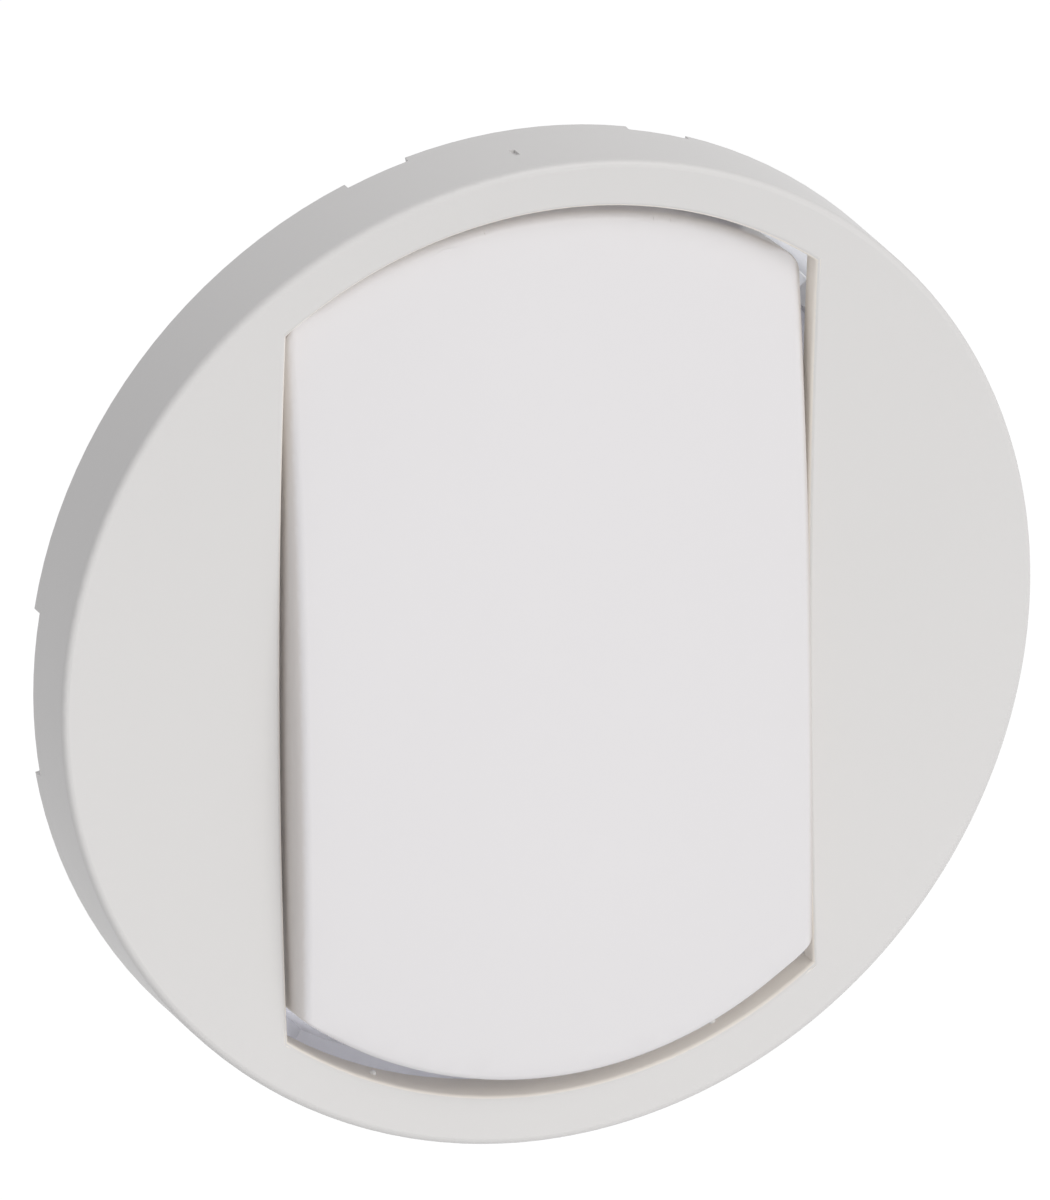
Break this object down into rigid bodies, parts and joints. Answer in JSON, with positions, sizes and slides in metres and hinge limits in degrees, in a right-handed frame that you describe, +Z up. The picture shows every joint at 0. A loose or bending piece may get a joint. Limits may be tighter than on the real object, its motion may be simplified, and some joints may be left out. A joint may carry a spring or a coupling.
{
  "type": "push button light switch",
  "caption": "Round push-button light switch insert: a dished disc with a lens-shaped window, a crowned rocking key and a base with screwless wire entries behind.",
  "frame": {"origin": "centre of the plane of the trim ring's rear edge, which seats on the wall plate", "axes": "+Z up, front to -Y, +X to the right as seen from the front"},
  "size_m": [0.0662, 0.0274, 0.0662],
  "materials": {
    "ring_plastic": "satin moulded white, slightly warm",
    "key_plastic": "satin moulded white, a little lighter than the ring",
    "frame_plastic": "matt moulded cool white",
    "base_plastic": "matt moulded pale grey",
    "plunger_plastic": "matt moulded natural white",
    "spring_steel": "bright spring steel",
    "bar_brass": "stamped brass",
    "contact_alloy": "silver-coloured contact alloy",
    "guide_plastic": "matt moulded dark grey",
    "button_plastic": "matt moulded mid grey"
  },
  "bodies": {
    "housing": {"trim_ring": "ring_plastic", "front_frame": "frame_plastic", "base_housing": "base_plastic", "fixed_contacts": "contact_alloy", "return_spring": "spring_steel", "left_terminal_bar": "bar_brass", "right_terminal_bar": "bar_brass", "left_wire_guide": "guide_plastic", "right_wire_guide": "guide_plastic", "left_clamp_springs": "spring_steel", "right_clamp_springs": "spring_steel"},
    "key": {"rocker_key": "key_plastic", "key_actuator": "frame_plastic"},
    "contact": {"plunger": "plunger_plastic", "bridge_clip": "spring_steel", "contact_bridge": "bar_brass", "bridge_contacts": "contact_alloy", "contact_spring": "spring_steel"},
    "left_button": {"left_release_button": "button_plastic"},
    "right_button": {"right_release_button": "button_plastic"}
  },
  "joints": [
    {"name": "key_rock", "type": "hinge", "parent": "housing", "child": "key", "pos_m": [0, 0, 0], "axis": [1, 0, 0], "range_deg": [0, 6.4], "stiffness_Nm_per_rad": 0.15, "springref_deg": -8.59},
    {"name": "plunger_slide", "type": "slide", "parent": "housing", "child": "contact", "axis": [0, 1, 0], "range_m": [0, 0.00123], "deforming": ["return_spring"]},
    {"name": "left_release", "type": "slide", "parent": "housing", "child": "left_button", "axis": [0, -1, 0], "range_m": [0, 0.0012], "stiffness_N_per_m": 400, "springref_m": -0.002},
    {"name": "right_release", "type": "slide", "parent": "housing", "child": "right_button", "axis": [0, -1, 0], "range_m": [0, 0.0012], "stiffness_N_per_m": 400, "springref_m": -0.002}
  ],
  "couplings": [
    {"joint": "plunger_slide", "follows": "key_rock", "m_per_rad": 0.011}
  ]
}
